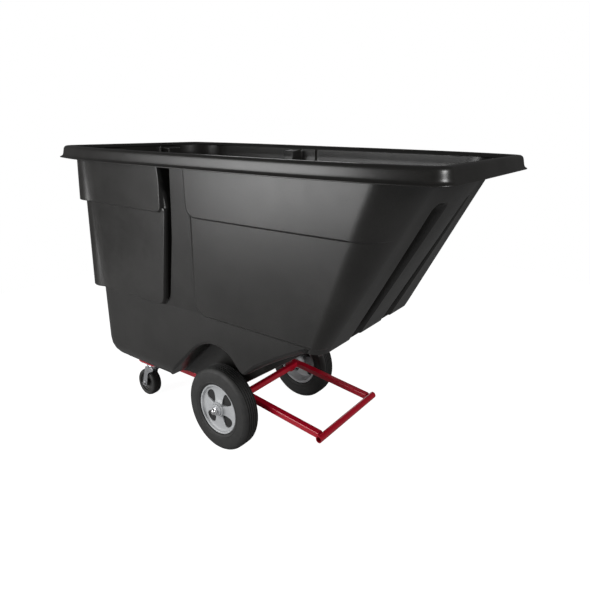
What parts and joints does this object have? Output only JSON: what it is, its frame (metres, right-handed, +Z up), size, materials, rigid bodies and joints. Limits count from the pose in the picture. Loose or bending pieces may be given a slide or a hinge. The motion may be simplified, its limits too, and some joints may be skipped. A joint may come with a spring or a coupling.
{
  "type": "tilt truck",
  "caption": "Plastic tilt truck: a black moulded tub with a sloped dumping end on a red tube frame with main wheels and rear swivel casters.",
  "frame": {"origin": "on the floor, under the middle of the tub's rim", "axes": "+X towards the dumping end, +Y to the cart's left, +Z up"},
  "size_m": [1.537, 0.711, 0.981],
  "materials": {
    "tub_plastic": "satin",
    "frame_paint": "gloss",
    "rubber": "matte",
    "hub_plastic": "satin",
    "caster_plastic": "satin",
    "zinc": "satin"
  },
  "bodies": {
    "root": {"tub": "tub_plastic", "axle": "zinc", "axle_cross_tube": "frame_paint", "caster_cross_plate": "frame_paint", "front_stop_tube": "frame_paint", "left_axle_bracket": "frame_paint", "left_axle_cap": "zinc", "left_axle_spacer": "zinc", "left_axle_washer": "zinc", "left_caster_bolt_1": "zinc", "left_caster_bolt_2": "zinc", "left_caster_bolt_3": "zinc", "left_caster_bolt_4": "zinc", "left_caster_kingpin": "zinc", "left_caster_plate": "zinc", "left_caster_race": "zinc", "left_frame_rail": "frame_paint", "left_front_tub_bolt": "zinc", "left_front_tub_nut": "zinc", "left_rear_tub_bolt": "zinc", "left_rear_tub_nut": "zinc", "right_axle_bracket": "frame_paint", "right_axle_cap": "zinc", "right_axle_spacer": "zinc", "right_axle_washer": "zinc", "right_caster_bolt_1": "zinc", "right_caster_bolt_2": "zinc", "right_caster_bolt_3": "zinc", "right_caster_bolt_4": "zinc", "right_caster_kingpin": "zinc", "right_caster_plate": "zinc", "right_caster_race": "zinc", "right_frame_rail": "frame_paint", "right_front_tub_bolt": "zinc", "right_front_tub_nut": "zinc", "right_rear_tub_bolt": "zinc", "right_rear_tub_nut": "zinc"},
    "left_wheel": {"left_wheel_tyre": "rubber", "left_wheel_hub": "hub_plastic", "left_wheel_inner_bush": "zinc", "left_wheel_outer_bush": "zinc"},
    "left_caster_swivel": {"left_caster_fork": "zinc", "left_caster_axle": "zinc", "left_caster_nut": "zinc"},
    "left_caster_wheel": {"left_caster_tread": "rubber", "left_caster_core": "caster_plastic", "left_caster_bush": "zinc"},
    "right_wheel": {"right_wheel_tyre": "rubber", "right_wheel_hub": "hub_plastic", "right_wheel_inner_bush": "zinc", "right_wheel_outer_bush": "zinc"},
    "right_caster_swivel": {"right_caster_fork": "zinc", "right_caster_axle": "zinc", "right_caster_nut": "zinc"},
    "right_caster_wheel": {"right_caster_tread": "rubber", "right_caster_core": "caster_plastic", "right_caster_bush": "zinc"}
  },
  "joints": [
    {"name": "left_wheel_spin", "type": "hinge", "parent": "root", "child": "left_wheel", "pos_m": [-0.0651, 0.1949, 0.1398], "axis": [0, 1, 0], "continuous": true},
    {"name": "left_caster_turn", "type": "hinge", "parent": "root", "child": "left_caster_swivel", "pos_m": [-0.5365, 0.1303, 0.12], "axis": [0, 0, 1], "continuous": true},
    {"name": "left_caster_spin", "type": "hinge", "parent": "left_caster_swivel", "child": "left_caster_wheel", "pos_m": [-0.5715, 0.1303, 0.052], "axis": [0, 1, 0], "continuous": true},
    {"name": "right_wheel_spin", "type": "hinge", "parent": "root", "child": "right_wheel", "pos_m": [-0.0651, -0.1949, 0.1398], "axis": [0, 1, 0], "continuous": true},
    {"name": "right_caster_turn", "type": "hinge", "parent": "root", "child": "right_caster_swivel", "pos_m": [-0.5365, -0.1303, 0.12], "axis": [0, 0, 1], "continuous": true},
    {"name": "right_caster_spin", "type": "hinge", "parent": "right_caster_swivel", "child": "right_caster_wheel", "pos_m": [-0.5715, -0.1303, 0.052], "axis": [0, 1, 0], "continuous": true}
  ]
}
